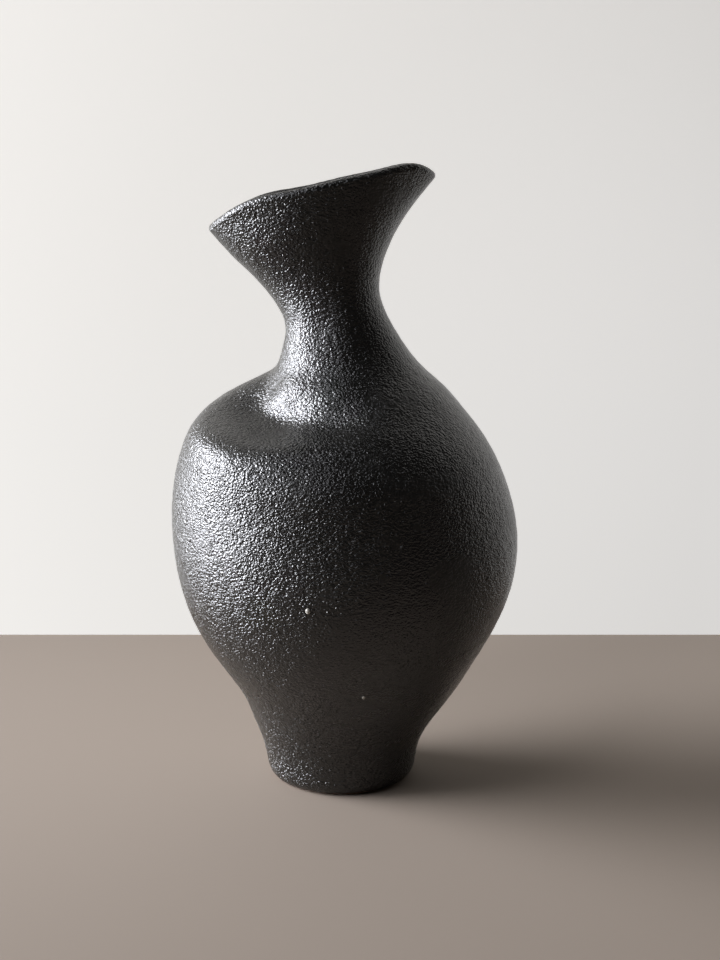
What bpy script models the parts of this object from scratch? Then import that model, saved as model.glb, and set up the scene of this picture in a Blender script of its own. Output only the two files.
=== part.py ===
# Hand-built black clay vase with a slumped shoulder and a leaning, flared mouth.
# Seven bands of clay, each its own solid, luted one on top of the other.
# +X is the side the mouth rises to, -Y is the front, +Z is up, the foot rests on Z = 0.
import math

import bmesh
import bpy
from mathutils import Vector

MM = 0.001

# Wall and joints
WALL = 5.5 * MM                # thickness of the clay wall, square to its surface
FLOOR_THICKNESS = 8.0 * MM     # thickness of the slab the pot stands on
FOOT_ROUNDING = 8.0 * MM       # how far the flat resting face stays inside the foot
FLOOR_FILLET = 5.0 * MM        # width of the smoothed clay where the floor meets the wall
SEAM_BEVEL = 4.0 * MM          # how much higher each joint sits inside than outside
SEAM_GAP = 0.35 * MM           # slip line left between two bands

# Fineness of the surface
SEGMENTS = 56                  # points round every ring
RING_PITCH = 6.0 * MM          # spacing of the rings up the wall
EDGE_STEPS = 6                 # steps round the lip and round the edge of the foot
TURNS = [2.0 * math.pi * i / SEGMENTS for i in range(SEGMENTS)]

# Height of every band, measured up the middle of the pot
FOOT_HEIGHT = 35.0 * MM
LOWER_BELLY_HEIGHT = 62.0 * MM
UPPER_BELLY_HEIGHT = 65.0 * MM
SHOULDER_HEIGHT = 66.0 * MM
NECK_HEIGHT = 46.0 * MM
MOUTH_HEIGHT = 37.0 * MM

# Reach of the pot from its middle line at its main stations
FOOT_REACH_SIDES = 42.0 * MM
FOOT_REACH_FRONT = 38.5 * MM
FOOT_REACH_BACK = 39.5 * MM
BELLY_REACH_LEFT = 92.0 * MM
BELLY_REACH_RIGHT = 97.5 * MM
BELLY_REACH_FRONT = 91.0 * MM
BELLY_REACH_BACK = 90.0 * MM
NECK_REACH_LEFT = 29.5 * MM
NECK_REACH_RIGHT = 21.5 * MM
NECK_REACH_FRONT = 27.5 * MM
NECK_REACH_BACK = 28.0 * MM
MOUTH_REACH_LEFT = 68.5 * MM
MOUTH_REACH_RIGHT = 49.5 * MM
MOUTH_REACH_FRONT = 38.0 * MM
MOUTH_REACH_BACK = 37.0 * MM
MOUTH_LEAN = 0.225             # rise of the lip per metre to the right
MOUTH_DROOP = 6.5 * MM         # how far the two tips of the lip hang below its sides
TIP_SOFTNESS = 0.35            # 0 for a lip that is sharply folded at its tips

# The bands from the floor up, with the stations that shape each one.
# name, height, then share of that height, left, right, front, back, lean, droop
BANDS = (
    ("foot_wall", FOOT_HEIGHT, (
        (0.00, FOOT_REACH_SIDES, FOOT_REACH_SIDES, FOOT_REACH_FRONT, FOOT_REACH_BACK, 0.0, 0.0),
        (0.40, 45.0 * MM, 45.0 * MM, 42.0 * MM, 42.5 * MM, 0.0, 0.0),
        (0.80, 50.0 * MM, 52.5 * MM, 49.0 * MM, 49.5 * MM, 0.0, 0.0))),
    ("lower_belly", LOWER_BELLY_HEIGHT, (
        (0.11, 55.0 * MM, 62.0 * MM, 58.0 * MM, 57.5 * MM, 0.0, 0.0),
        (0.47, 69.0 * MM, 75.5 * MM, 72.5 * MM, 71.5 * MM, 0.0, 0.0),
        (0.89, 83.5 * MM, 89.0 * MM, 85.5 * MM, 84.0 * MM, 0.0, 0.0))),
    ("upper_belly", UPPER_BELLY_HEIGHT, (
        (0.46, BELLY_REACH_LEFT, BELLY_REACH_RIGHT, BELLY_REACH_FRONT, BELLY_REACH_BACK, 0.0, 0.0),
        (1.00, 91.5 * MM, 91.0 * MM, 85.5 * MM, 87.0 * MM, 0.0, 0.0))),
    ("shoulder", SHOULDER_HEIGHT, (
        (0.38, 84.0 * MM, 79.0 * MM, 78.5 * MM, 77.0 * MM, 0.0, 0.0),
        (0.64, 72.0 * MM, 66.0 * MM, 60.5 * MM, 65.0 * MM, 0.0, 0.0),
        (0.82, 52.5 * MM, 55.0 * MM, 46.5 * MM, 53.0 * MM, 0.0, 0.0),
        (1.00, 35.5 * MM, 40.5 * MM, 36.0 * MM, 42.0 * MM, 0.05, 0.0))),
    ("neck", NECK_HEIGHT, (
        (0.26, 31.5 * MM, 30.0 * MM, 32.5 * MM, 33.5 * MM, 0.16, 0.0),
        (0.61, NECK_REACH_LEFT, NECK_REACH_RIGHT, NECK_REACH_FRONT, NECK_REACH_BACK, 0.28, 0.0))),
    ("mouth", MOUTH_HEIGHT, (
        (0.05, 40.0 * MM, 23.5 * MM, 25.5 * MM, 28.5 * MM, 0.26, 0.0),
        (0.52, 55.5 * MM, 34.0 * MM, 33.0 * MM, 33.0 * MM, 0.24, 3.0 * MM),
        (1.00, MOUTH_REACH_LEFT, MOUTH_REACH_RIGHT, MOUTH_REACH_FRONT, MOUTH_REACH_BACK,
         MOUTH_LEAN, MOUTH_DROOP))),
)

# Soft dents and swellings. On the shoulder, the crease where the clay slumped round the root of
# the neck and the full shelf under it; on the neck, the flats that the potter's hands left; on
# the mouth, the six places where the lip was pulled up.
# band, share of its height, direction round the pot in degrees, spread along the wall,
# spread in degrees, push out of the pot, push up
PRESSES = (
    ("shoulder", 0.94, 187.0, 8.0 * MM, 16.0, 0.5 * MM, -2.5 * MM),
    ("shoulder", 0.85, 203.0, 13.0 * MM, 18.0, -2.5 * MM, -6.5 * MM),
    ("shoulder", 0.74, 218.0, 12.0 * MM, 23.0, -8.0 * MM, -5.5 * MM),
    ("shoulder", 0.68, 241.0, 16.0 * MM, 22.0, -9.5 * MM, -6.0 * MM),
    ("shoulder", 0.70, 270.0, 12.0 * MM, 16.0, -2.0 * MM, -4.0 * MM),
    ("shoulder", 0.50, 224.0, 17.0 * MM, 30.0, 5.5 * MM, 0.0),
    ("shoulder", 0.39, 272.0, 13.0 * MM, 36.0, -4.0 * MM, 1.0 * MM),
    ("neck", 0.22, 286.0, 16.0 * MM, 45.0, -3.0 * MM, 2.0 * MM),
    ("neck", 0.57, 255.0, 15.0 * MM, 25.0, -1.5 * MM, -3.0 * MM),
    ("mouth", 0.05, 290.0, 16.0 * MM, 34.0, 1.5 * MM, 0.0),
    ("mouth", 1.00, 38.0, 14.0 * MM, 24.0, 0.0, 4.6 * MM),
    ("mouth", 1.00, 78.0, 14.0 * MM, 24.0, 0.0, 2.4 * MM),
    ("mouth", 1.00, 125.0, 14.0 * MM, 26.0, 0.0, 4.4 * MM),
    ("mouth", 1.00, 235.0, 14.0 * MM, 26.0, 0.0, 4.4 * MM),
    ("mouth", 1.00, 282.0, 14.0 * MM, 24.0, 0.0, 2.4 * MM),
    ("mouth", 1.00, 322.0, 14.0 * MM, 24.0, 0.0, 4.6 * MM),
)

BLACK_GLAZE = (0.018, 0.016, 0.015, 1.0)
BARE_CLAY = (0.075, 0.052, 0.042, 1.0)


def clear_scene():
    for obj in list(bpy.data.objects):
        bpy.data.objects.remove(obj, do_unlink=True)
    for block in list(bpy.data.meshes):
        bpy.data.meshes.remove(block)


def stations():
    """Rows of height, left, right, front, back, lean, droop from the floor up."""
    rows = []
    joints = [FLOOR_THICKNESS]
    for _, height, shape in BANDS:
        bottom = joints[-1]
        for share, left, right, front, back, lean, droop in shape:
            rows.append([bottom + share * height, -left, right, -front, back, lean, droop])
        joints.append(bottom + height)
    return rows, joints


def spline(rows):
    """Smooth curve through all the rows, run along the mean length of the wall."""
    run = [0.0]
    for low, high in zip(rows, rows[1:]):
        rise = high[0] - low[0]
        out = 0.5 * ((high[2] - high[1]) - (low[2] - low[1]))
        run.append(run[-1] + math.hypot(rise, out))
    count = len(rows)
    width = len(rows[0])
    bend = [[0.0] * width for _ in rows]
    for col in range(width):
        upper = [0.0] * count
        load = [0.0] * count
        for i in range(1, count - 1):
            before = run[i] - run[i - 1]
            after = run[i + 1] - run[i]
            slope_change = ((rows[i + 1][col] - rows[i][col]) / after
                            - (rows[i][col] - rows[i - 1][col]) / before)
            pivot = 2.0 * (before + after) - before * upper[i - 1]
            upper[i] = after / pivot
            load[i] = (6.0 * slope_change - before * load[i - 1]) / pivot
        for i in range(count - 2, 0, -1):
            bend[i][col] = load[i] - upper[i] * bend[i + 1][col]

    def at(pos):
        k = 0
        while k < count - 2 and pos > run[k + 1]:
            k += 1
        step = run[k + 1] - run[k]
        a = (run[k + 1] - pos) / step
        b = (pos - run[k]) / step
        row = []
        for col in range(width):
            straight = a * rows[k][col] + b * rows[k + 1][col]
            curve = ((a ** 3 - a) * bend[k][col] + (b ** 3 - b) * bend[k + 1][col]) * step * step / 6.0
            row.append(straight + curve)
        return row

    return at, run[-1]


ROWS, JOINTS = stations()
PROFILE, LENGTH = spline(ROWS)


def position_at_height(height):
    low = 0.0
    high = LENGTH
    for _ in range(50):
        middle = 0.5 * (low + high)
        if PROFILE(middle)[0] < height:
            low = middle
        else:
            high = middle
    return 0.5 * (low + high)


BAND_FEET = {band[0]: (foot, band[1]) for band, foot in zip(BANDS, JOINTS)}


def press_centre(band, share):
    foot, height = BAND_FEET[band]
    return position_at_height(foot + share * height)


PRESS_CENTRES = [press_centre(press[0], press[1]) for press in PRESSES]


def skin(pos, turn):
    """Point on the outside of the pot."""
    height, left, right, front, back, lean, droop = PROFILE(pos)
    cos = math.cos(turn)
    sin = math.sin(turn)
    half = 0.5 * (right - left)
    x = 0.5 * (left + right) + half * cos
    y = 0.5 * (front + back) + 0.5 * (back - front) * sin
    side = (math.hypot(sin, TIP_SOFTNESS) - TIP_SOFTNESS) / (math.hypot(1.0, TIP_SOFTNESS) - TIP_SOFTNESS)
    z = height + lean * half * cos + droop * side
    out = 0.0
    up = 0.0
    for (_, _, angle, spread, width, push, lift), centre in zip(PRESSES, PRESS_CENTRES):
        off = (math.degrees(turn) - angle + 180.0) % 360.0 - 180.0
        weight = math.exp(-((pos - centre) / spread) ** 2 - (off / width) ** 2)
        out += weight * push
        up += weight * lift
    return Vector((x + out * cos, y + out * sin, z + up))


def outward(pos, turn):
    step = 0.0005
    low = max(pos - step, 0.0)
    high = min(pos + step, LENGTH)
    along = skin(high, turn) - skin(low, turn)
    around = skin(pos, turn + 0.01) - skin(pos, turn - 0.01)
    return around.cross(along).normalized(), along.normalized()


def outer_ring(pos):
    return [skin(pos, turn) for turn in TURNS]


def inner_ring(pos):
    return [skin(pos, turn) - outward(pos, turn)[0] * WALL for turn in TURNS]


def seam_rings(pos, side):
    """Outer and inner edge of a joint, half the gap up (side 1) or down (side -1) from its middle."""
    shift = 0.5 * side * SEAM_GAP * math.hypot(WALL, SEAM_BEVEL) / WALL
    moves = [outward(pos, turn)[1] * shift for turn in TURNS]
    outer = [point + move for point, move in zip(outer_ring(pos), moves)]
    inner = [point + move for point, move in zip(inner_ring(pos + SEAM_BEVEL), moves)]
    return outer, inner


def lip_rings():
    """Half round that closes the wall at the mouth, from outside to inside."""
    rings = []
    radius = 0.5 * WALL
    for k in range(1, EDGE_STEPS):
        angle = math.pi * k / EDGE_STEPS
        ring = []
        for turn in TURNS:
            out, along = outward(LENGTH, turn)
            middle = skin(LENGTH, turn) - out * radius
            ring.append(middle + out * radius * math.cos(angle) + along * radius * math.sin(angle))
        rings.append(ring)
    return rings


def foot_edge_rings():
    """Rounded edge from the flat resting face up to the foot of the wall."""
    rings = []
    for k in range(EDGE_STEPS):
        s = k / EDGE_STEPS
        ring = []
        for turn in TURNS:
            end = skin(0.0, turn)
            slope = outward(0.0, turn)[1]
            knee = end - slope * (end.z / slope.z)
            below = Vector((end.x, end.y, 0.0))
            start = below * (1.0 - FOOT_ROUNDING / below.length)
            ring.append(start * (1 - s) ** 2 + knee * 2 * s * (1 - s) + end * s * s)
        rings.append(ring)
    return rings


def between(low, high):
    """Positions of the rings inside a band, without its two ends."""
    count = max(2, round(abs(high - low) / RING_PITCH))
    return [low + (high - low) * k / count for k in range(1, count)]


def solid(name, rings, collection, material, capped):
    """One closed skin through a loop of rings, or between two flat ends.

    The rings lean, shift and change outline from one to the next, so the
    skin is lofted ring by ring.
    """
    bm = bmesh.new()
    rows = [[bm.verts.new(point) for point in ring] for ring in rings]
    pairs = list(zip(rows, rows[1:]))
    if not capped:
        pairs.append((rows[-1], rows[0]))
    for low, high in pairs:
        for i in range(SEGMENTS):
            j = (i + 1) % SEGMENTS
            bm.faces.new((low[i], low[j], high[j], high[i]))
    if capped:
        for row in (rows[0], rows[-1]):
            middle = Vector((0.0, 0.0, 0.0))
            for vert in row:
                middle += vert.co / SEGMENTS
            hub = bm.verts.new(middle)
            for i in range(SEGMENTS):
                bm.faces.new((row[i], row[(i + 1) % SEGMENTS], hub))
    bmesh.ops.recalc_face_normals(bm, faces=bm.faces)
    mesh = bpy.data.meshes.new(name)
    bm.to_mesh(mesh)
    bm.free()
    for face in mesh.polygons:
        face.use_smooth = True
    mesh.materials.append(material)
    obj = bpy.data.objects.new(name, mesh)
    collection.objects.link(obj)
    return obj


def clay(name, colour, roughness):
    material = bpy.data.materials.new(name)
    material.use_nodes = True
    shader = material.node_tree.nodes["Principled BSDF"]
    shader.inputs["Base Color"].default_value = colour
    shader.inputs["Roughness"].default_value = roughness
    return material


def base_slab(collection, material):
    """Floor of the pot: resting face, rounded edge, bevelled seat for the wall, floor inside."""
    seat_outer, seat_inner = seam_rings(0.0, -1)
    floor_edge = []
    for point in inner_ring(0.0):
        flat = Vector((point.x, point.y, 0.0)) * (1.0 - FLOOR_FILLET / point.xy.length)
        floor_edge.append(flat + Vector((0.0, 0.0, FLOOR_THICKNESS)))
    rings = foot_edge_rings() + [seat_outer, seat_inner, floor_edge]
    solid("base_slab", rings, collection, material, True)


def wall_band(name, low, high, collection, material):
    """One band of the wall, between two bevelled joints or up to the rounded lip."""
    outer_low, inner_low = seam_rings(low, 1)
    outside = [outer_low] + [outer_ring(pos) for pos in between(low, high)]
    if high < LENGTH:
        outside += list(seam_rings(high, -1))
        top = high + SEAM_BEVEL
    else:
        outside += [outer_ring(high)] + lip_rings() + [inner_ring(high)]
        top = high
    inside = [inner_ring(pos) for pos in between(top, low + SEAM_BEVEL)]
    solid(name, outside + inside + [inner_low], collection, material, False)


def build():
    clear_scene()
    collection = bpy.data.collections.new("black_clay_vase")
    bpy.context.scene.collection.children.link(collection)
    base_slab(collection, clay("bare dark clay under the foot", BARE_CLAY, 0.85))
    glaze = clay("black satin glaze", BLACK_GLAZE, 0.38)
    seams = [position_at_height(height) for height in JOINTS[:-1]] + [LENGTH]
    for band, low, high in zip(BANDS, seams, seams[1:]):
        wall_band(band[0], low, high, collection, glaze)


build()
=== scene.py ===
# A hand-built vase of dark clay under a black, leathery glaze.
import math

import bpy
import numpy as np
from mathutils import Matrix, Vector


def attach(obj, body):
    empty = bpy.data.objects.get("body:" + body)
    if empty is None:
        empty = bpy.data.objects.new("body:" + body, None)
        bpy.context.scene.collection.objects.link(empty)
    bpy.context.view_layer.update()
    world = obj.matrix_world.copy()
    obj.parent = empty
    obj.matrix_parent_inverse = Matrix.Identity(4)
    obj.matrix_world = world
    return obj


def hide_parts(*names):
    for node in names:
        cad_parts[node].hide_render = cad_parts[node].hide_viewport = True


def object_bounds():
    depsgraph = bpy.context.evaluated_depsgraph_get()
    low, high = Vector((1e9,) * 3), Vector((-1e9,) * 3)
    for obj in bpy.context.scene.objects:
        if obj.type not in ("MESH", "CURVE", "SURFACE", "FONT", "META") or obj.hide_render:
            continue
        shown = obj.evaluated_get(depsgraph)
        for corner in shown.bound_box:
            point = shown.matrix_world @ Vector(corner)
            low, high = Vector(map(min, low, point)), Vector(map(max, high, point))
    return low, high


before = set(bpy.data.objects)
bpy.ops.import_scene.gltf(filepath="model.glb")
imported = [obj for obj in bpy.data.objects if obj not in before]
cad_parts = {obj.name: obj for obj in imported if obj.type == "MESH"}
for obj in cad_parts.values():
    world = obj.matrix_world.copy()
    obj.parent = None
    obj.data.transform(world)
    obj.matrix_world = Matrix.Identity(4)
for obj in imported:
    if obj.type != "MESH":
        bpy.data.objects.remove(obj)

cadLow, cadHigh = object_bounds()
mm = 0.001


def linearColour(hexText):
    # sRGB hex to the linear values that shaders use, with full alpha
    parts = [int(hexText[i:i + 2], 16) / 255.0 for i in (1, 3, 5)]
    return tuple(p / 12.92 if p <= 0.04045 else ((p + 0.055) / 1.055) ** 2.4 for p in parts) + (1.0,)


def addNode(tree, kind, settings=None, links=None):
    # settings: attribute or input name -> value; links: input name -> output socket
    node = tree.nodes.new(kind)
    for key, value in (settings or {}).items():
        if isinstance(key, int) or key in node.inputs.keys():
            node.inputs[key].default_value = value
        else:
            setattr(node, key, value)
    for key, socket in (links or {}).items():
        tree.links.new(socket, node.inputs[key])
    return node


def emptyMaterial(name):
    material = bpy.data.materials.new(name)
    material.use_nodes = True
    material.node_tree.nodes.clear()
    return material


# form of the vase, drawn in millimetres and fitted to the CAD box
vase = {
    "drawnHeight": 341.3,      # height of the drawing, which the CAD box scales
    "wall": 5.5,
    "floor": 8.0,
    "floorFillet": 5.0,
    "footRounding": 8.0,
    "tipSoftness": 0.35,       # how softly the lip's droop turns at the two tips of the mouth
    "columns": 640,            # points round the pot
    "rowPitch": 0.9,           # spacing of the rows up the outside
    "insidePitch": 3.0,        # spacing of the rows down the inside
    "slipGroove": 0.35,        # how far the joint faces stand back inside the wall
    "seamBevel": 4.0,          # how much higher a joint sits inside than outside
}

# outline of the outside: height, reach to the left, right, front and back, lean, droop
stations = np.array([
    (8.0, -42.0, 42.0, -38.5, 39.5, 0.0, 0.0),
    (22.0, -45.0, 45.0, -42.0, 42.5, 0.0, 0.0),
    (36.0, -50.0, 52.5, -49.0, 49.5, 0.0, 0.0),
    (49.8, -55.0, 62.0, -58.0, 57.5, 0.0, 0.0),
    (72.1, -69.0, 75.5, -72.5, 71.5, 0.0, 0.0),
    (98.2, -83.5, 89.0, -85.5, 84.0, 0.0, 0.0),
    (134.9, -92.0, 97.5, -91.0, 90.0, 0.0, 0.0),
    (170.0, -91.5, 91.0, -85.5, 87.0, 0.0, 0.0),
    (195.1, -84.0, 79.0, -78.5, 77.0, 0.0, 0.0),
    (212.2, -72.0, 66.0, -60.5, 65.0, 0.0, 0.0),
    (224.1, -52.5, 55.0, -46.5, 53.0, 0.0, 0.0),
    (236.0, -35.5, 40.5, -36.0, 42.0, 0.05, 0.0),
    (248.0, -31.5, 30.0, -32.5, 33.5, 0.16, 0.0),
    (264.1, -29.5, 21.5, -27.5, 28.0, 0.28, 0.0),
    (284.0, -40.0, 23.5, -25.5, 28.5, 0.26, 0.0),
    (302.3, -55.5, 34.0, -33.0, 33.0, 0.24, 3.0),
    (319.0, -68.5, 49.5, -38.0, 37.0, 0.225, 6.5),
])

# where each band of clay starts, from the foot up
bands = {
    "foot_wall": 8.0,
    "lower_belly": 43.0,
    "upper_belly": 105.0,
    "shoulder": 170.0,
    "neck": 236.0,
    "mouth": 282.0,
}

# soft dents and swellings: height, direction in degrees, spread along the wall,
# spread in degrees, push out of the pot, push up
presses = [
    (232.0, 187.0, 8.0, 16.0, 0.5, -2.5),
    (226.0, 203.0, 13.0, 18.0, -2.5, -6.5),
    (219.0, 218.0, 12.0, 23.0, -8.0, -5.5),
    (215.0, 241.0, 16.0, 22.0, -9.5, -6.0),
    (216.0, 270.0, 12.0, 16.0, -2.0, -4.0),
    (203.0, 224.0, 17.0, 30.0, 5.5, 0.0),
    (196.0, 272.0, 13.0, 36.0, -4.0, 1.0),
    (246.0, 286.0, 16.0, 45.0, -3.0, 2.0),
    (262.0, 255.0, 15.0, 25.0, -1.5, -3.0),
    (284.0, 290.0, 16.0, 34.0, 1.5, 0.0),
    (319.0, 38.0, 14.0, 24.0, 0.0, 4.6),
    (319.0, 78.0, 14.0, 24.0, 0.0, 2.4),
    (319.0, 125.0, 14.0, 26.0, 0.0, 4.4),
    (319.0, 235.0, 14.0, 26.0, 0.0, 4.4),
    (319.0, 282.0, 14.0, 24.0, 0.0, 2.4),
    (319.0, 322.0, 14.0, 24.0, 0.0, 4.6),
]

run = np.concatenate([[0.0], np.cumsum(np.hypot(
    np.diff(stations[:, 0]), 0.5 * np.diff(stations[:, 2] - stations[:, 1])))])


def naturalSpline():
    # second derivatives of a smooth curve through all the stations
    count = len(run)
    step = np.diff(run)
    system = np.eye(count)
    load = np.zeros_like(stations)
    for i in range(1, count - 1):
        system[i, i - 1:i + 2] = step[i - 1], 2.0 * (step[i - 1] + step[i]), step[i]
        slopes = np.diff(stations[i - 1:i + 2], axis=0) / step[i - 1:i + 1, None]
        load[i] = 6.0 * (slopes[1] - slopes[0])
    return np.linalg.solve(system, load)


bend = naturalSpline()


def profileAt(pos):
    # station values at positions along the wall
    pos = np.atleast_1d(pos)
    k = np.clip(np.searchsorted(run, pos, side="right") - 1, 0, len(run) - 2)
    step = (run[k + 1] - run[k])[:, None]
    a = (run[k + 1] - pos)[:, None] / step
    b = (pos - run[k])[:, None] / step
    curve = ((a ** 3 - a) * bend[k] + (b ** 3 - b) * bend[k + 1]) * step ** 2 / 6.0
    return a * stations[k] + b * stations[k + 1] + curve


def positionAtHeight(height):
    pos = np.linspace(0.0, run[-1], 20001)
    return float(np.interp(height, profileAt(pos)[:, 0], pos))


pressPositions = [positionAtHeight(press[0]) for press in presses]


def skin(pos, turn):
    # outside of the pot: rows for positions, columns for turns
    height, left, right, front, back, lean, droop = [v[:, None] for v in profileAt(pos).T]
    cos, sin = np.cos(turn)[None, :], np.sin(turn)[None, :]
    half = 0.5 * (right - left)
    soft = vase["tipSoftness"]
    side = (np.hypot(sin, soft) - soft) / (math.hypot(1.0, soft) - soft)
    x = 0.5 * (left + right) + half * cos
    y = 0.5 * (front + back) + 0.5 * (back - front) * sin
    z = height + lean * half * cos + droop * side
    out, up = 0.0, 0.0
    for (_, angle, spread, width, push, lift), centre in zip(presses, pressPositions):
        off = (np.degrees(turn)[None, :] - angle + 180.0) % 360.0 - 180.0
        weight = np.exp(-((np.asarray(pos)[:, None] - centre) / spread) ** 2 - (off / width) ** 2)
        out = out + weight * push
        up = up + weight * lift
    return np.stack([x + out * cos, y + out * sin, z + up + 0.0 * x], axis=-1)


def unitVectors(v):
    return v / np.linalg.norm(v, axis=-1, keepdims=True)


def directions(pos, turn):
    # unit vectors out of the wall and up along it
    pos = np.asarray(pos, float)
    low, high = np.clip(pos - 0.5, 0.0, run[-1]), np.clip(pos + 0.5, 0.0, run[-1])
    along = skin(high, turn) - skin(low, turn)
    around = skin(pos, turn + 0.01) - skin(pos, turn - 0.01)
    return unitVectors(np.cross(around, along)), unitVectors(along)


def inside(pos, turn):
    return skin(pos, turn) - directions(pos, turn)[0] * vase["wall"]


def evenly(low, high, pitch):
    return np.linspace(low, high, max(3, int(round(abs(high - low) / pitch)) + 1))


# the whole pot is one continuous skin: resting face, outside, lip, inside, floor
columns = vase["columns"]
rowPitch = vase["rowPitch"] * 1.0
turns = np.linspace(0.0, 2.0 * math.pi, columns, endpoint=False)
seams = [positionAtHeight(height) for height in bands.values()] + [run[-1]]


def layRows():
    # rows of points with the span of each stretch, so that the bands can be cut out later
    rows, spans = [], {}

    def add(name, block):
        start = sum(len(b) for b in rows)
        rows.append(block)
        spans[name] = (start, start + len(block))

    # resting face and the rounded edge of the foot
    edge = skin([0.0], turns)[0]
    slope = directions([0.0], turns)[1][0]
    knee = edge - slope * (edge[:, 2:] / slope[:, 2:])
    below = edge * (1.0, 1.0, 0.0)
    start = below * (1.0 - vase["footRounding"] / np.linalg.norm(below, axis=1, keepdims=True))
    face = [start * share for share in np.linspace(0.04, 0.98, 30)]
    s = np.linspace(0.0, 1.0, 14, endpoint=False)[:, None, None]
    add("face", np.array(face))
    add("rounding", start * (1 - s) ** 2 + knee * 2 * s * (1 - s) + edge * s ** 2)

    # outside of each band, then the round lip
    for index, name in enumerate(bands):
        pos = evenly(seams[index], seams[index + 1], rowPitch)
        add(name, skin(pos[:-1], turns))
    out, along = directions([run[-1]], turns)
    radius = 0.5 * vase["wall"]
    middle = skin([run[-1]], turns) - out * radius
    angle = np.linspace(0.0, math.pi, 15)[:-1, None, None]
    add("lip", middle + radius * (out * np.cos(angle) + along * np.sin(angle)))

    # inside of each band from the lip down, then the fillet and the floor
    for index in reversed(range(len(bands))):
        name = list(bands)[index]
        low = seams[index] + vase["seamBevel"]
        high = seams[index + 1] + (vase["seamBevel"] if index < len(bands) - 1 else 0.0)
        pos = evenly(high, low, vase["insidePitch"])
        add(name + " inside", inside(pos[:-1], turns))
    lowest = inside([seams[0] + vase["seamBevel"]], turns)[0]
    rim = inside([0.0], turns)[0] * (1.0, 1.0, 0.0)
    corner = rim + (0.0, 0.0, vase["floor"])
    shrink = 1.0 - vase["floorFillet"] / np.linalg.norm(rim, axis=1, keepdims=True)
    fillet = rim * shrink + (0.0, 0.0, vase["floor"])
    s = np.linspace(0.0, 1.0, 6, endpoint=False)[:, None, None]
    add("fillet", lowest * (1 - s) ** 2 + corner * 2 * s * (1 - s) + fillet * s ** 2)
    add("floor", np.array([fillet * (share, share, 1.0) for share in np.linspace(1.0, 0.04, 10)]))
    return np.concatenate(rows), spans


gridRows, spans = layRows()
unit = (cadHigh.z - cadLow.z) / vase["drawnHeight"]       # drawing to metres
gridRows = gridRows * unit + np.array([0.0, 0.0, cadLow.z])
print("stage: skin laid in", len(gridRows), "rows of", columns)


def stripFaces(rowCount, closed=False):
    # quads between neighbouring rows, all the way round, and from the last row to the first if closed
    i, j = np.meshgrid(np.arange(rowCount if closed else rowCount - 1), np.arange(columns), indexing="ij")
    low, high = i * columns, (i + 1) % rowCount * columns
    nextJ = (j + 1) % columns
    return np.stack([low + j, low + nextJ, high + nextJ, high + j], -1).reshape(-1, 4)


def meshFrom(name, points, quads, fans=()):
    # fans: (centre index, ring start, flip) close a disc with triangles
    faces = quads.tolist()
    for centre, ring, flip in fans:
        for j in range(columns):
            a, b = ring + j, ring + (j + 1) % columns
            faces.append([centre, b, a] if flip else [centre, a, b])
    mesh = bpy.data.meshes.new(name)
    mesh.from_pydata(points.tolist(), [], faces)
    mesh.update()
    mesh.shade_smooth()
    return mesh


rowTotal = len(gridRows)
# the last two points are the hubs of the resting face and of the floor inside
hubs = np.array([[0.0, 0.0, cadLow.z], [0.0, 0.0, cadLow.z + vase["floor"] * unit]])
wholePoints = np.concatenate([gridRows.reshape(-1, 3), hubs])
hub = rowTotal * columns
wholeMesh = meshFrom("wholeSkin", wholePoints, stripFaces(rowTotal),
                     [(hub, 0, True), (hub + 1, hub - columns, False)])
wholeSkin = bpy.data.objects.new("wholeSkin", wholeMesh)
bpy.context.scene.collection.objects.link(wholeSkin)

# how strongly the clay and glaze ripple: full outside, faint inside, none on the resting face
rowStrength = np.ones(rowTotal, np.float32)
for name, (start, end) in spans.items():
    if name.endswith("inside") or name in ("fillet", "floor"):
        rowStrength[start:end] = 0.5
    if name == "face":
        rowStrength[start:end] = 0.0
    if name == "rounding":
        rowStrength[start:end] = np.linspace(0.0, 1.0, end - start)
ripple = np.concatenate([np.repeat(rowStrength, columns), np.zeros(len(hubs), np.float32)])
wholeMesh.attributes.new("ripple", "FLOAT", "POINT").data.foreach_set("value", ripple)


# Geometry Nodes press the soft hollows of the hand and the coarse wrinkles of the glaze into the skin
relief = {
    "handSize": 42.0 * mm,      # spacing of the soft hollows that fingers leave
    "handHeight": 0.7 * mm,
    "swellSize": 11.0 * mm,     # lumps of clay under the glaze
    "swellHeight": 0.2 * mm,
    "wrinkleSize": 4.2 * mm,    # coarsest wrinkles of the glaze
    "wrinkleHeight": 0.5 * mm,
    "seed": 7,
}


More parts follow.
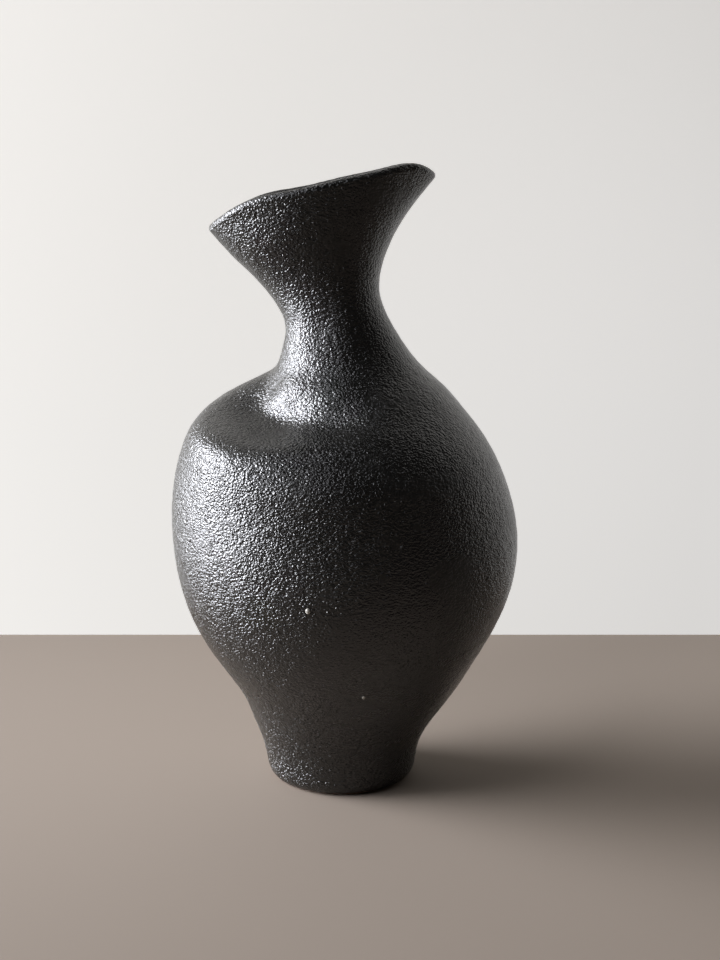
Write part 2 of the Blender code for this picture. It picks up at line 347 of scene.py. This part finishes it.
def reliefTree():
    tree = bpy.data.node_groups.new("glazeRelief", "GeometryNodeTree")
    tree.interface.new_socket("Geometry", in_out="INPUT", socket_type="NodeSocketGeometry")
    for key, value in relief.items():
        kind = "NodeSocketInt" if key == "seed" else "NodeSocketFloat"
        tree.interface.new_socket(key, in_out="INPUT", socket_type=kind)
    tree.interface.new_socket("Material", in_out="INPUT", socket_type="NodeSocketMaterial")
    tree.interface.new_socket("Geometry", in_out="OUTPUT", socket_type="NodeSocketGeometry")
    given = addNode(tree, "NodeGroupInput").outputs
    place = addNode(tree, "GeometryNodeInputPosition").outputs[0]
    normal = addNode(tree, "GeometryNodeInputNormal").outputs[0]
    strength = addNode(tree, "GeometryNodeInputNamedAttribute",
                       {"data_type": "FLOAT", "Name": "ripple"}).outputs[0]
    rise = None
    for size, height, detail in (("handSize", "handHeight", 0.0), ("swellSize", "swellHeight", 1.0),
                                 ("wrinkleSize", "wrinkleHeight", 1.0)):
        scale = addNode(tree, "ShaderNodeMath", {"operation": "DIVIDE", 0: 1.0}, {1: given[size]}).outputs[0]
        noise = addNode(tree, "ShaderNodeTexNoise",
                        {"noise_dimensions": "4D", "Detail": detail, "Roughness": 0.5},
                        {"Vector": place, "W": given["seed"], "Scale": scale}).outputs[0]
        centred = addNode(tree, "ShaderNodeMath", {"operation": "SUBTRACT", 1: 0.5}, {0: noise}).outputs[0]
        raised = addNode(tree, "ShaderNodeMath", {"operation": "MULTIPLY"},
                         {0: centred, 1: given[height]}).outputs[0]
        if rise is None:
            rise = raised
        else:
            rise = addNode(tree, "ShaderNodeMath", {"operation": "ADD"}, {0: rise, 1: raised}).outputs[0]
    faded = addNode(tree, "ShaderNodeMath", {"operation": "MULTIPLY"}, {0: rise, 1: strength}).outputs[0]
    offset = addNode(tree, "ShaderNodeVectorMath", {"operation": "SCALE"},
                     {0: normal, "Scale": faded}).outputs[0]
    moved = addNode(tree, "GeometryNodeSetPosition",
                    links={"Geometry": given["Geometry"], "Offset": offset})
    real = addNode(tree, "GeometryNodeRealizeInstances", links={"Geometry": moved.outputs[0]})
    dressed = addNode(tree, "GeometryNodeSetMaterial",
                      links={"Geometry": real.outputs[0], "Material": given["Material"]})
    addNode(tree, "NodeGroupOutput", links={"Geometry": dressed.outputs[0]})
    return tree


glaze = {
    "thin": "#151310",          # where the glaze is thin over the dark clay
    "thick": "#0c0c0b",
    "ior": 1.62,
    "roughness": (0.20, 0.31),
    "grain": 1.0 * mm,          # orange-peel grain
    "grainDepth": 0.54 * mm,
    "pebble": 1.65 * mm,        # little raised beads between the wrinkles
    "pebbleDepth": 0.44 * mm,
    "fine": 0.6 * mm,
    "fineDepth": 0.10 * mm,
    "flatten": 1.35,            # how much wider than high the grain is, as the brush drew it
    "bend": 0.5,                # how far the grain is pulled out of line, in grains
    "bendPace": 0.35,           # how often, per grain
    "lowBeads": 1.7,            # how much deeper the beads are on the lower third of the pot
    "lowThird": (55.0 * mm, 125.0 * mm),    # height where they are deepest and where that ends
    "patch": 28.0 * mm,         # slow change of gloss over the pot
}


def glazeSockets(tree):
    # colour, roughness and normal of the black glaze
    place = addNode(tree, "ShaderNodeTexCoord").outputs["Object"]
    patch = addNode(tree, "ShaderNodeTexNoise", {"Scale": 1.0 / glaze["patch"], "Detail": 3.0},
                    {"Vector": place}).outputs[0]
    tone = addNode(tree, "ShaderNodeMix", {"data_type": "RGBA", 6: linearColour(glaze["thick"]),
                   7: linearColour(glaze["thin"])}, {0: patch})
    gloss = addNode(tree, "ShaderNodeMapRange", {"From Min": 0.3, "From Max": 0.7,
                    "To Min": glaze["roughness"][0], "To Max": glaze["roughness"][1]}, {"Value": patch})

    # the grain, squashed and pulled a little out of line
    squashed = addNode(tree, "ShaderNodeVectorMath",
                       {"operation": "MULTIPLY", 1: (1.0, 1.0, glaze["flatten"])}, {0: place}).outputs[0]
    pull = addNode(tree, "ShaderNodeTexNoise", {"Scale": glaze["bendPace"] / glaze["grain"], "Detail": 1.0},
                   {"Vector": place}).outputs["Color"]
    bent = addNode(tree, "ShaderNodeVectorMath",
                   {"operation": "MULTIPLY_ADD", 1: [glaze["bend"] * glaze["grain"]] * 3},
                   {0: pull, 2: squashed}).outputs[0]
    beads = addNode(tree, "ShaderNodeTexVoronoi",
                    {"feature": "SMOOTH_F1", "Scale": 1.0 / glaze["pebble"], "Smoothness": 0.5},
                    {"Vector": bent}).outputs["Distance"]
    grain = addNode(tree, "ShaderNodeTexNoise",
                    {"Scale": 1.0 / glaze["grain"], "Detail": 1.0, "Roughness": 0.5},
                    {"Vector": bent}).outputs[0]
    fine = addNode(tree, "ShaderNodeTexNoise", {"Scale": 1.0 / glaze["fine"], "Detail": 1.0},
                   {"Vector": place}).outputs[0]
    height = addNode(tree, "ShaderNodeSeparateXYZ", links={0: place}).outputs["Z"]
    lower = addNode(tree, "ShaderNodeMapRange", {"From Min": glaze["lowThird"][1],
                    "From Max": glaze["lowThird"][0], "To Min": 1.0, "To Max": glaze["lowBeads"]},
                    {"Value": height}).outputs[0]
    beading = addNode(tree, "ShaderNodeMath", {"operation": "MULTIPLY"}, {0: beads, 1: lower}).outputs[0]

    # beads, wrinkles and pores, one bump over the other
    pebbled = addNode(tree, "ShaderNodeBump",
                      {"Strength": 1.0, "Distance": glaze["pebbleDepth"], "invert": True},
                      {"Height": beading}).outputs[0]
    wrinkled = addNode(tree, "ShaderNodeBump", {"Strength": 1.0, "Distance": glaze["grainDepth"]},
                       {"Height": grain, "Normal": pebbled}).outputs[0]
    pored = addNode(tree, "ShaderNodeBump", {"Strength": 1.0, "Distance": glaze["fineDepth"]},
                    {"Height": fine, "Normal": wrinkled})
    return tone.outputs[2], gloss.outputs[0], pored.outputs[0]


def blackGlaze():
    # satin black stoneware glaze, brushed on thickly over dark clay: it crawls into a leathery
    # orange-peel grain that breaks every highlight into small glints
    material = emptyMaterial("black satin glaze")
    tree = material.node_tree
    tone, gloss, normal = glazeSockets(tree)
    shader = addNode(tree, "ShaderNodeBsdfPrincipled", {"IOR": glaze["ior"]},
                     {"Base Color": tone, "Roughness": gloss, "Normal": normal})
    addNode(tree, "ShaderNodeOutputMaterial", links={"Surface": shader.outputs[0]})
    return material


foot = {
    "bare": "#7d5238",          # dry red-brown clay where the glaze was wiped off
    "bareDark": "#4e3424",
    "edge": 1.5 * mm,           # how high the bare edge reaches
    "waver": 1.6 * mm,          # how much that height changes
    "waverSize": 14.0 * mm,     # over what length
    "grit": 1.5 * mm,
    "roughness": 0.85,
}


def wipedFoot():
    # the same black glaze, wiped back to dry red-brown clay under the foot and along its edge
    material = emptyMaterial("bare clay foot with a glazed side")
    tree = material.node_tree
    tone, gloss, normal = glazeSockets(tree)
    place = addNode(tree, "ShaderNodeTexCoord").outputs["Object"]
    height = addNode(tree, "ShaderNodeSeparateXYZ", links={0: place}).outputs["Z"]
    drift = addNode(tree, "ShaderNodeTexNoise", {"Scale": 1.0 / foot["waverSize"], "Detail": 3.0},
                    {"Vector": place}).outputs[0]
    wavering = addNode(tree, "ShaderNodeMath", {"operation": "MULTIPLY_ADD", 1: foot["waver"],
                       2: foot["edge"] - 0.5 * foot["waver"]}, {0: drift}).outputs[0]
    above = addNode(tree, "ShaderNodeMath", {"operation": "SUBTRACT"}, {0: height, 1: wavering}).outputs[0]
    cover = addNode(tree, "ShaderNodeMapRange", {"From Min": -0.1 * mm, "From Max": 0.3 * mm},
                    {"Value": above}).outputs[0]
    grit = addNode(tree, "ShaderNodeTexNoise", {"Scale": 1.0 / foot["grit"], "Detail": 4.0},
                   {"Vector": place}).outputs[0]
    clay = addNode(tree, "ShaderNodeMix", {"data_type": "RGBA", 6: linearColour(foot["bareDark"]),
                   7: linearColour(foot["bare"])}, {0: grit}).outputs[2]
    colour = addNode(tree, "ShaderNodeMix", {"data_type": "RGBA"}, {0: cover, 6: clay, 7: tone}).outputs[2]
    rough = addNode(tree, "ShaderNodeMix", {"data_type": "FLOAT", 2: foot["roughness"]},
                    {0: cover, 3: gloss}).outputs[0]
    shader = addNode(tree, "ShaderNodeBsdfPrincipled", {"IOR": glaze["ior"]},
                     {"Base Color": colour, "Roughness": rough, "Normal": normal})
    addNode(tree, "ShaderNodeOutputMaterial", links={"Surface": shader.outputs[0]})
    return material


glazeMaterial = blackGlaze()

reliefModifier = wholeSkin.modifiers.new("glazeRelief", "NODES")
reliefModifier.node_group = reliefTree()
for item in reliefModifier.node_group.interface.items_tree:
    if item.in_out == "INPUT" and item.name in relief:
        reliefModifier[item.identifier] = relief[item.name]
    if item.name == "Material":
        reliefModifier[item.identifier] = glazeMaterial
depsgraph = bpy.context.evaluated_depsgraph_get()
rippled = bpy.data.meshes.new_from_object(wholeSkin.evaluated_get(depsgraph))
places = np.empty(len(rippled.vertices) * 3, np.float32)
rippled.vertices.foreach_get("co", places)
places = places.reshape(-1, 3).astype(float)
normals = np.empty(len(rippled.vertices) * 3, np.float32)
rippled.vertex_normals.foreach_get("vector", normals)
normals = normals.reshape(-1, 3).astype(float)
bpy.data.objects.remove(wholeSkin)
bpy.data.meshes.remove(rippled)
print("stage: relief pressed into", len(places), "points")


# the bands, each a closed ring cut from the one skin
upward = np.array([0.0, 0.0, 1.0])


def rowsOf(values, name, extra=0):
    # rows of a stretch of the skin, with so many of the rows after it
    start, end = spans[name]
    return values[start * columns:(end + extra) * columns].reshape(-1, columns, 3)


def jointRow(outer, inner, lift):
    # middle of a joint face, lifted or sunk so that two faces never coincide
    return (0.5 * (outer + inner) + upward * lift * unit)[None]


def finishPiece(name, mesh, meshNormals, node, material):
    mesh.materials.append(material)
    mesh.normals_split_custom_set_from_vertices(meshNormals.tolist())
    piece = bpy.data.objects.new(name, mesh)
    bpy.context.scene.collection.objects.link(piece)
    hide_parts(node)
    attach(piece, "root")


def wallBand(name, node):
    outer, outerNormals = rowsOf(places, node, 1), rowsOf(normals, node, 1)
    inner, innerNormals = rowsOf(places, node + " inside", 1), rowsOf(normals, node + " inside", 1)
    flat = upward * np.ones((1, columns, 3))
    bottom = jointRow(outer[0], inner[-1], vase["slipGroove"])
    if node == "mouth":
        top, topNormals = rowsOf(places, "lip")[1:], rowsOf(normals, "lip")[1:]
    else:
        top, topNormals = jointRow(outer[-1], inner[0], -vase["slipGroove"]), flat
    rows = np.concatenate([outer, top, inner, bottom])
    rowNormals = np.concatenate([outerNormals, topNormals, innerNormals, -flat])
    mesh = meshFrom(name, rows.reshape(-1, 3), stripFaces(len(rows), closed=True))
    finishPiece(name, mesh, rowNormals.reshape(-1, 3), node, glazeMaterial)


def footSlab():
    outer, outerNormals = [np.concatenate([rowsOf(values, "face"), rowsOf(values, "rounding"),
                                           rowsOf(values, "foot_wall")[:1]]) for values in (places, normals)]
    inner, innerNormals = [np.concatenate([rowsOf(values, "fillet"), rowsOf(values, "floor")])
                           for values in (places, normals)]
    seat = jointRow(outer[-1], inner[0], -vase["slipGroove"])
    rows = np.concatenate([outer, seat, inner])
    rowNormals = np.concatenate([outerNormals, upward * np.ones((1, columns, 3)), innerNormals])
    count = len(rows)
    points = np.concatenate([rows.reshape(-1, 3), places[-2:]])
    pointNormals = np.concatenate([rowNormals.reshape(-1, 3), [-upward, upward]])
    mesh = meshFrom("footSlab", points, stripFaces(count),
                    [(count * columns, 0, True), (count * columns + 1, (count - 1) * columns, False)])
    finishPiece("footSlab", mesh, pointNormals, "base_slab", wipedFoot())


pieceNames = {
    "foot_wall": "footWall",
    "lower_belly": "lowerBelly",
    "upper_belly": "upperBelly",
    "shoulder": "shoulderBand",
    "neck": "neckBand",
    "mouth": "mouthBand",
}
footSlab()
for node, name in pieceNames.items():
    wallBand(name, node)
print("stage: bands cut")


# nibs are beads that stand out of the glaze; their pale colour is a painted highlight, for the glint of the
# window on them
nib = {
    # height on the drawing, direction in degrees, radius in millimetres
    "places": [(124.4, 258.8, 1.3), (72.3, 277.5, 1.0)],
    "rings": (1.0, 0.94, 0.72, 0.4),    # radius of each ring of points, as a share of the whole
    "points": 16,                       # points in a ring
    "rise": 0.75,                       # in radii, as are the next three
    "sink": 0.3,
    "root": 0.5,
    "tall": 1.25,
    # the pale colour below is a painted highlight on the nibs
    "colour": "#a8a49c",
    "roughness": 0.25,
}


def paintedHighlightNib():
    # glossy nib of glaze, its pale colour a painted highlight
    material = emptyMaterial("glaze nib painted pale as a highlight")
    tree = material.node_tree
    shader = addNode(tree, "ShaderNodeBsdfPrincipled", {"IOR": glaze["ior"],
                     "Base Color": linearColour(nib["colour"]), "Roughness": nib["roughness"]})
    addNode(tree, "ShaderNodeOutputMaterial", links={"Surface": shader.outputs[0]})
    return material


def nibDome(centre, out, radius):
    # low dome of points round a spot on the wall, sunk a little into it
    side = unitVectors(np.cross(out, upward))
    up = np.cross(side, out)
    angle = np.linspace(0.0, 2.0 * math.pi, nib["points"], endpoint=False)[:, None]
    around = side * np.cos(angle) + nib["tall"] * up * np.sin(angle)
    points = [centre - out * nib["root"] * radius]
    for share in nib["rings"]:
        rise = nib["rise"] * math.sqrt(1.0 - share * share) - (nib["sink"] if share == 1.0 else 0.0)
        points.extend(centre + out * radius * rise + radius * share * around)
    points.append(centre + out * nib["rise"] * radius)
    return points


def scatterNibs():
    points, faces = [], []
    wallPoints = np.concatenate([rowsOf(places, name).reshape(-1, 3) for name in bands])
    wallNormals = np.concatenate([rowsOf(normals, name).reshape(-1, 3) for name in bands])
    for height, direction, radius in nib["places"]:
        target = skin([positionAtHeight(height)], np.array([math.radians(direction)]))[0, 0] * unit
        nearest = int(np.argmin(np.sum((wallPoints - target) ** 2, axis=1)))
        root = len(points)
        points.extend(nibDome(wallPoints[nearest], wallNormals[nearest], radius * mm))
        rings = [root + 1 + index * nib["points"] for index in range(len(nib["rings"]))]
        for j in range(nib["points"]):
            k = (j + 1) % nib["points"]
            faces.append([root, rings[0] + j, rings[0] + k])
            for low, high in zip(rings, rings[1:]):
                faces.append([low + k, low + j, high + j, high + k])
            faces.append([rings[-1] + k, rings[-1] + j, len(points) - 1])
    mesh = bpy.data.meshes.new("glazeNibs")
    mesh.from_pydata([list(point) for point in points], [], faces)
    mesh.shade_smooth()
    mesh.materials.append(paintedHighlightNib())
    piece = bpy.data.objects.new("glazeNibs", mesh)
    bpy.context.scene.collection.objects.link(piece)
    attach(piece, "root")


scatterNibs()
print("stage: nibs set")


# studio: a board to stand on, a wall, two lamps and a camera, in metres
studio = {
    "wallDistance": 1.05,
    "tableEdge": 0.24,          # the table ends this far behind the pot
    "near": 2.5,                # and this far in front of it
    "width": 5.0,
    "tall": 2.6,
    "floorColour": "#8a7e72",
    "wallColour": "#e4e2df",
    "wallGlow": (1.08, 0.74),   # room light on the wall, left and right, as its own faint glow
    "glowReach": 0.45,          # how far to each side the glow changes
    "roughness": 0.85,
    "roomColour": "#e9e4e2",
    "roomLight": 0.05,
}


def paintedBoard(name, colour):
    # matt painted board, evenly pale
    material = emptyMaterial(name)
    tree = material.node_tree
    shader = addNode(tree, "ShaderNodeBsdfPrincipled",
                     {"Base Color": linearColour(colour), "Roughness": studio["roughness"]})
    addNode(tree, "ShaderNodeOutputMaterial", links={"Surface": shader.outputs[0]})
    return material


def litWall():
    # matt off-white plaster; the daylight on it, falling off towards the right, is a painted glow in its own
    # emission
    material = emptyMaterial("pale wall with painted glow")
    tree = material.node_tree
    place = addNode(tree, "ShaderNodeTexCoord").outputs["Object"]
    across = addNode(tree, "ShaderNodeSeparateXYZ", links={0: place}).outputs["X"]
    glow = addNode(tree, "ShaderNodeMapRange", {"From Min": -studio["glowReach"],
                   "From Max": studio["glowReach"],
                   "To Min": studio["wallGlow"][0], "To Max": studio["wallGlow"][1]}, {"Value": across})
    shader = addNode(tree, "ShaderNodeBsdfPrincipled", {"Base Color": linearColour(studio["wallColour"]),
                     "Roughness": studio["roughness"], "Emission Color": linearColour(studio["wallColour"])},
                     {"Emission Strength": glow.outputs[0]})
    addNode(tree, "ShaderNodeOutputMaterial", links={"Surface": shader.outputs[0]})
    return material


def board(name, outline, material):
    # sheet of board: an outline of (depth, height) drawn out sideways
    half = 0.5 * studio["width"]
    points = [(x, y, z + cadLow.z) for x in (-half, half) for y, z in outline]
    count = len(outline)
    mesh = bpy.data.meshes.new(name)
    mesh.from_pydata(points, [], [(k, count + k, count + k + 1, k + 1) for k in range(count - 1)])
    mesh.materials.append(material)
    piece = bpy.data.objects.new(name, mesh)
    bpy.context.scene.collection.objects.link(piece)


board("table", [(-studio["near"], 0.0), (studio["tableEdge"], 0.0)],
      paintedBoard("matt pale table", studio["floorColour"]))
board("backWall", [(studio["wallDistance"], height) for height in (-0.5 * studio["tall"], studio["tall"])],
      litWall())

lamps = {
    # name: place, aim, width, height, watts, spread in degrees, colour
    "window": ((-1.15, 0.10, 0.42), (0.0, 0.0, 0.22), 0.9, 0.8, 14.0, 70.0, "#f6f8ff"),
    "skylight": ((-0.65, -0.65, 1.15), (0.0, 0.0, 0.22), 0.4, 0.4, 0.6, 60.0, "#f6f8ff"),
}


def hangLamps():
    for name, (place, aim, width, height, watts, spread, colour) in lamps.items():
        lamp = bpy.data.lights.new(name, "AREA")
        lamp.shape = "RECTANGLE"
        lamp.size, lamp.size_y = width, height
        lamp.energy = watts
        lamp.spread = math.radians(spread)
        lamp.color = linearColour(colour)[:3]
        holder = bpy.data.objects.new(name, lamp)
        bpy.context.scene.collection.objects.link(holder)
        holder.location = place
        holder.rotation_euler = (Vector(aim) - Vector(place)).to_track_quat("-Z", "Y").to_euler()
    world = bpy.data.worlds.new("studio")
    bpy.context.scene.world = world
    world.use_nodes = True
    background = world.node_tree.nodes["Background"]
    background.inputs["Color"].default_value = linearColour(studio["roomColour"])
    background.inputs["Strength"].default_value = studio["roomLight"]


hangLamps()

view = {
    "aside": 0.0106,       # metres to the right of the foot's centre
    "back": 0.774,
    "height": 0.345,
    "tiltDown": 12.67,     # degrees
    "lens": 54.1,          # millimetres, as is the sensor
    "sensor": 36.0,
}


def standCamera():
    lens = bpy.data.cameras.new("camera")
    lens.lens = view["lens"]
    lens.sensor_width = view["sensor"]
    lens.clip_start = 0.02
    camera = bpy.data.objects.new("camera", lens)
    bpy.context.scene.collection.objects.link(camera)
    camera.location = (view["aside"], -view["back"], cadLow.z + view["height"])
    camera.rotation_euler = (math.radians(90.0 - view["tiltDown"]), 0.0, 0.0)
    bpy.context.scene.camera = camera


standCamera()
bpy.context.scene.view_settings.view_transform = "Standard"
print("stage: studio set")
